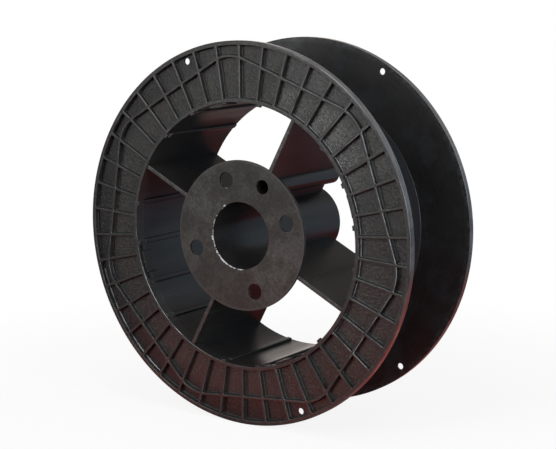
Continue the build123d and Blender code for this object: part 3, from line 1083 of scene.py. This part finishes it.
class WIRESPOOL_OT_drum_body(bpy.types.Operator):
    """Model the drum: barrel, rear flange, stiffeners, spokes, hub and snap hooks"""

    bl_idname = "wire_spool.drum_body"
    bl_label = "Drum body"

    def execute(self, context):
        flange = context.scene.spool_flange
        hub = context.scene.spool_hub
        piece = self.barrel_and_flange()
        combine(piece, wire_hole_cutter(flange.rear_hole_cells), "DIFFERENCE")
        self.set_back_end(piece)
        piece.scale.z = -1
        apply_place(piece)
        edit(piece)
        close_shell()
        combine(piece, self.stiffeners(), "UNION")
        combine(piece, self.hooks(), "UNION")
        combine(piece, self.spokes(), "UNION")
        bore, drive_hole, disc_back = hub.bore / 2, hub.drive_hole / 2, FRONT - hub.disc_thickness
        combine(piece, self.tube("hub_tube", bore + hub.tube_wall, 0, BORE_STEPS), "UNION")
        drive_tube = self.tube("drive_tube", drive_hole + hub.drive_wall, hub.hole_circle, TUBE_STEPS)
        combine(piece, drive_tube, "UNION")
        combine(piece, self.disc(), "UNION")
        spindle_bore = self.bore_cutter("spindle_bore", bore, 0, REAR, hub.mouth_round, BORE_STEPS)
        combine(piece, spindle_bore, "DIFFERENCE")
        drive_bore = self.bore_cutter(
            "drive_hole", drive_hole, hub.hole_circle, REAR, hub.hole_round, HOLE_STEPS)
        combine(piece, drive_bore, "DIFFERENCE")
        hole = self.bore_cutter("hub_hole", hub.hole / 2, 0, disc_back, hub.hole_round, HOLE_STEPS)
        hole.location.x = hub.hole_circle
        apply_place(hole)
        combine(piece, copies_round_axis(hole, window_middles()), "DIFFERENCE")
        regions = ribbed_regions(-1, context.scene.spool_barrel.radius)
        finish_moulding(piece, "drum_body", regions + [
            ("winding_side", self.winding_side), ("barrel_outside", self.barrel_outside),
            ("spoke_edges", self.spoke_edge), ("scuffed_hub", self.hub_face)])
        return {"FINISHED"}

    def winding_side(self, face):
        """The smooth side that the wire lies against, and the outside of the barrel."""
        flange = bpy.context.scene.spool_flange
        barrel = bpy.context.scene.spool_barrel
        centre = face.calc_center_median()
        outside = axis_distance(centre) > barrel.radius - barrel.wall / 2
        between = REAR + flange.thickness * 0.99 < centre.z < FRONT - flange.thickness * 0.99
        return outside and between and not close_to(axis_distance(centre), FLANGE_RADIUS, flange.rim_corner)

    def barrel_outside(self, face):
        """The round outside of the barrel, between the flanges."""
        barrel = bpy.context.scene.spool_barrel
        radius = axis_distance(face.calc_center_median())
        return self.winding_side(face) and radius < barrel.radius + barrel.foot_round

    def spoke_edge(self, face):
        """The narrow front edges of the spokes."""
        hub = bpy.context.scene.spool_hub
        centre = face.calc_center_median()
        past_disc = axis_distance(centre) > hub.disc_radius - bpy.context.scene.spool_barrel.edge_round
        return past_disc and face.normal.z > 0.3 and centre.z > FRONT - hub.spoke_recess - hub.mouth_round

    def hub_face(self, face):
        """The disc's front, out over its rounded edge and into the mouths of its bores."""
        hub = bpy.context.scene.spool_hub
        centre = face.calc_center_median()
        on_disc = axis_distance(centre) < hub.disc_radius
        return on_disc and face.normal.z > 0.05 and centre.z > FRONT - hub.mouth_round * 1.01

    def barrel_and_flange(self):
        """Rear flange and barrel in one closed shell, with the ribbed side up."""
        flange = bpy.context.scene.spool_flange
        barrel = bpy.context.scene.spool_barrel
        bore = barrel.radius - barrel.wall
        back = FRONT - flange.thickness
        far_end = -back
        edge = barrel.edge_round
        foot = barrel.foot_round
        piece, inner, outer = ribbed_face("drum_body_moulding", barrel.radius)
        select_open_ring(piece, outer)
        profile = rim_profile(back)
        profile += arc(barrel.radius + foot, back - foot, foot, 90, 180, 3)
        profile += [(barrel.radius, far_end), (bore, far_end)]
        profile += arc(bore + edge, FRONT - edge, edge, 180, 90, 3)
        follow(profile + [(inner, FRONT)], (outer, FRONT))
        close_shell()
        return piece

    def set_back_end(self, piece):
        """Cuts the barrel's end down below the ribs round it, and rounds its mouth."""
        barrel = bpy.context.scene.spool_barrel
        level = FRONT - barrel.rear_recess
        bore = barrel.radius - barrel.wall
        past = barrel.rear_recess
        flange = bpy.context.scene.spool_flange
        cutter = turned("barrel_end", [(barrel.radius, level), (barrel.radius, FRONT + past)],
                        flange.rib_count * flange.cell_steps)
        combine(piece, cutter, "DIFFERENCE")
        edit(piece)
        select_where(piece, "EDGE", lambda edge: all(
            close_to(corner.co.z, level) and close_to(axis_distance(corner.co), bore, barrel.edge_round)
            for corner in edge.verts))
        round_selected(barrel.edge_round, 2)
        bpy.ops.object.mode_set(mode="OBJECT")

    def inner_end(self):
        """Height of the stiffeners' and spoke bodies' front ends, just under the spigot."""
        flange = bpy.context.scene.spool_flange
        barrel = bpy.context.scene.spool_barrel
        return FRONT - flange.thickness - barrel.spigot - barrel.clearance

    def stiffeners(self):
        barrel = bpy.context.scene.spool_barrel
        bore = barrel.radius - barrel.wall
        half = barrel.stiffener_width / 2
        low = (bore - barrel.stiffener_height, -half, REAR + barrel.stiffener_recess)
        high = (bore + barrel.embed, half, self.inner_end())
        stiffener = block("stiffener", low, high, barrel.stiffener_round)
        return copies_round_axis(stiffener, stiffener_angles())

    def spokes(self):
        """Plates from the hub tube to the barrel, stepped back where they pass the collar."""
        barrel = bpy.context.scene.spool_barrel
        hub = bpy.context.scene.spool_hub
        half = hub.spoke_thickness / 2
        inner = hub.bore / 2 + hub.tube_wall / 2
        neck = collar_radii()[0] - barrel.clearance
        top = self.inner_end()
        low = (inner, -half, REAR + hub.spoke_rear_recess)
        high = (barrel.radius - barrel.wall + barrel.embed, half, top)
        spoke = box("spoke", low, high)
        bpy.ops.mesh.bisect(plane_co=(neck, 0, 0), plane_no=(1, 0, 0))
        select_where(spoke, "FACE", lambda face: face.normal.z > FLAT and face.calc_center_median().x < neck)
        bpy.ops.mesh.extrude_region_move(
            TRANSFORM_OT_translate={"value": (0, 0, FRONT - hub.spoke_recess - top)})
        select_where(spoke, "EDGE", creased)
        round_selected(barrel.edge_round, 2)
        bpy.ops.object.mode_set(mode="OBJECT")
        return copies_round_axis(spoke, spoke_angles())

    def hooks(self):
        """Tongues that reach from the barrel through the collar, each with a nose at its end."""
        barrel = bpy.context.scene.spool_barrel
        bore = collar_radii()[0]
        outside = bore - barrel.clearance
        inside = outside - barrel.hook_thickness
        root = barrel.radius - barrel.wall + barrel.embed
        tip = FRONT - barrel.hook_recess
        nose_foot = tip - barrel.hook_nose_length
        nose = bore + barrel.hook_nose
        root_top = self.inner_end()
        root_foot = root_top - barrel.hook_root
        lead = barrel.hook_nose
        profile = [(inside, root_foot), (root, root_foot), (root, root_top),
                   (outside, root_top), (outside, nose_foot),
                   (nose, nose_foot), (nose, tip - lead), (nose - lead, tip), (inside, tip)]
        return swept_block("hook", profile, barrel.hook_width, hook_angles(), barrel.edge_round / 2)

    def tube(self, name, radius, offset, steps):
        """A solid rod for a tube, whose bore is cut later."""
        barrel = bpy.context.scene.spool_barrel
        hub = bpy.context.scene.spool_hub
        edge = barrel.edge_round
        top = FRONT - hub.disc_thickness / 2
        rod = turned(name, arc(radius - edge, REAR + edge, edge, -90, 0, 2) + [(radius, top)], steps)
        return self.set_beside_axis(rod, offset)

    def set_beside_axis(self, piece, offset):
        """Moves a turned piece off the axis, along the first spoke."""
        to_spoke = Matrix.Rotation(bpy.context.scene.spool_hub.spoke_phase, 4, "Z")
        piece.matrix_world = to_spoke @ Matrix.Translation((offset, 0, 0))
        apply_place(piece)
        return piece

    def disc(self):
        hub = bpy.context.scene.spool_hub
        edge = bpy.context.scene.spool_barrel.edge_round
        back = FRONT - hub.disc_thickness
        profile = arc(hub.disc_radius - edge, back + edge, edge, -90, 0, 2)
        profile += arc(hub.disc_radius - edge, FRONT - edge, edge, 0, 90, 3)
        return turned("hub_disc", profile, DISC_STEPS)

    def bore_cutter(self, name, radius, offset, low, flare, steps):
        """A cutter for a round hole up to the front face, flared at both ends."""
        past = bpy.context.scene.spool_hub.mouth_round
        rounding = arc(radius + flare, FRONT - flare, flare, 180, 90, 3)
        foot = arc(radius + flare, low + flare, flare, -90, -180, 3)
        profile = [(radius + flare, low - past)] + foot + rounding + [(radius + flare, FRONT + past)]
        return self.set_beside_axis(turned(name, profile, steps), offset)


class WIRESPOOL_OT_stage(bpy.types.Operator):
    """Set the floor, the lamps and the camera"""

    bl_idname = "wire_spool.stage"
    bl_label = "Stage"

    def execute(self, context):
        settings = context.scene.spool_stage
        deselect_all()
        bpy.ops.mesh.primitive_plane_add(size=settings.floor_size, location=(0, 0, CAD_BOX[0].z))
        floor = context.object
        floor.name = "floor"
        floor.data.materials.append(self.floor_material(settings))
        context.scene.world = self.studio(settings)
        for name in ("window", "ceiling", "fill", "glow"):
            self.lamp(name, settings)
        self.camera(settings)
        context.scene.view_settings.view_transform = "Standard"
        return {"FINISHED"}

    def floor_material(self, settings):
        """Pale to the camera, fading to plain white; in gloss, dark under the spool, red near, grey far."""
        finish = Finish("pale_floor")
        paper = finish.add("BsdfDiffuse", {"Color": (*settings.floor_colour, 1)})
        light_path = finish.add("LightPath")
        soft = finish.add("BsdfDiffuse", {"Color": (*settings.ground_light, 1)})
        distance = finish.vector("LENGTH", finish.place)["Value"]
        spot = finish.add("SeparateXYZ", {0: finish.place})
        right = finish.math("MAXIMUM", spot["X"], 0.0)
        slant = finish.math("SUBTRACT", spot["Y"], finish.times(right, settings.red_slant))
        behind = finish.span(slant, 2 * REAR, 2 * FRONT)
        red = finish.mix(behind, tuple(settings.red_before), tuple(settings.red_behind))
        far = finish.span(distance, settings.far_from, settings.far_past)
        before = finish.mix(far, tuple(settings.pale_before), tuple(settings.far_before))
        left = finish.span(spot["X"], *settings.left_width)
        beyond = finish.mix(left, tuple(settings.pale_left), tuple(settings.pale_behind))
        pale = finish.mix(behind, before, beyond)
        patch = finish.vector("DISTANCE", finish.place, settings.ground_centre)["Value"]
        out = finish.span(patch, settings.ground_from, settings.ground_past)
        past_depth = finish.span(finish.math("ABSOLUTE", spot["Y"]), *settings.shade_depth)
        past_width = finish.span(finish.math("ABSOLUTE", spot["X"]), *settings.shade_width)
        clear = finish.math("MAXIMUM", past_depth, past_width)
        ground_tone = finish.mix(clear, tuple(settings.shade), finish.mix(out, red, pale))
        gloss = finish.add("Emission", {"Color": ground_tone})
        ground = finish.either(light_path["Is Glossy Ray"], soft["BSDF"], gloss["Emission"])
        white = finish.add("Emission", {"Color": (1, 1, 1, 1)})
        share = finish.span(distance, settings.white_from, settings.white_past, settings.white_near, 1)
        seen = finish.either(share, paper["BSDF"], white["Emission"])
        finish.end(finish.either(light_path["Is Camera Ray"], ground, seen))
        return finish.material

    def studio(self, settings):
        """White to the camera; else a dim room, bright behind the spool and cool at its right."""
        world = bpy.data.worlds.new("studio")
        world.use_nodes = True
        finish = Finish(world=world)
        direction = finish.add("SeparateXYZ", {0: finish.direction})
        behind = finish.span(direction["Y"], *settings.backdrop_width)
        beside = finish.span(direction["X"], *settings.backdrop_side)
        low_backdrop = finish.span(direction["Z"], *settings.backdrop_height, 1, 0)
        low_side = finish.span(direction["Z"], *settings.side_height, 1, 0)
        low = finish.mix(finish.span(direction["X"], *settings.side_width), low_backdrop, low_side)
        levels = settings.backdrop_level, settings.side_level
        level = finish.span(direction["X"], *settings.backdrop_side, *levels)
        share = finish.times(behind, low)
        light = finish.mix(beside, tuple(settings.backdrop_colour), tuple(settings.side_colour))
        tint = finish.mix(share, tuple(settings.room_colour), light)
        strength = finish.span(share, 0, 1, settings.room_level, level, smooth=False)
        room = finish.add("Background", {"Color": tint, "Strength": strength})
        white = finish.add("Background", {"Color": (1, 1, 1, 1)})
        light_path = finish.add("LightPath")
        finish.end(finish.either(light_path["Is Camera Ray"], room["Background"], white["Background"]))
        return world

    def lamp(self, name, settings):
        """A square soft lamp, aimed at the middle of the spool."""
        place = Vector(getattr(settings, name + "_place"))
        aim = (place - CENTRE).to_track_quat("Z", "Y").to_euler()
        bpy.ops.object.light_add(type="AREA", location=place, rotation=aim)
        lamp = bpy.context.object
        lamp.name = name
        lamp.visible_camera = False
        lamp.data.shape = "SQUARE"
        lamp.data.size = getattr(settings, name + "_size")
        lamp.data.energy = getattr(settings, name + "_power")
        lamp.data.color = getattr(settings, name + "_colour")

    def camera(self, settings):
        away = Vector((
            math.sin(settings.camera_azimuth) * math.cos(settings.camera_elevation),
            -math.cos(settings.camera_azimuth) * math.cos(settings.camera_elevation),
            math.sin(settings.camera_elevation)))
        bpy.ops.object.camera_add(location=CENTRE + away * settings.camera_distance,
                                  rotation=away.to_track_quat("Z", "Y").to_euler())
        camera = bpy.context.object
        camera.data.lens = settings.focal_length
        camera.data.sensor_width = settings.sensor_width
        camera.data.shift_x = settings.shift_x
        camera.data.shift_y = settings.shift_y
        bpy.context.scene.camera = camera


class WIRESPOOL_PT_panel(bpy.types.Panel):
    """The spool's operators and settings"""

    bl_label = "Wire spool"
    bl_idname = "WIRESPOOL_PT_panel"
    bl_space_type = "VIEW_3D"
    bl_region_type = "UI"
    bl_category = "Wire spool"

    def draw(self, context):
        for operator in PIECE_OPERATORS:
            self.layout.operator(operator.bl_idname)


PIECE_OPERATORS = (WIRESPOOL_OT_front_flange, WIRESPOOL_OT_drum_body, WIRESPOOL_OT_stage)
SETTINGS = {
    "spool_flange": SpoolFlangeSettings,
    "spool_barrel": SpoolBarrelSettings,
    "spool_hub": SpoolHubSettings,
    "spool_stage": SpoolStageSettings,
}


def register():
    for cls in (*SETTINGS.values(), *PIECE_OPERATORS, WIRESPOOL_PT_panel):
        bpy.utils.register_class(cls)
    for name, group in SETTINGS.items():
        setattr(bpy.types.Scene, name, bpy.props.PointerProperty(type=group))


def unregister():
    for name in SETTINGS:
        delattr(bpy.types.Scene, name)
    for cls in (WIRESPOOL_PT_panel, *reversed(PIECE_OPERATORS), *SETTINGS.values()):
        bpy.utils.unregister_class(cls)


def main():
    register()
    bpy.ops.wire_spool.front_flange()
    bpy.ops.wire_spool.drum_body()
    bpy.ops.wire_spool.stage()


if __name__ == "__main__":
    main()
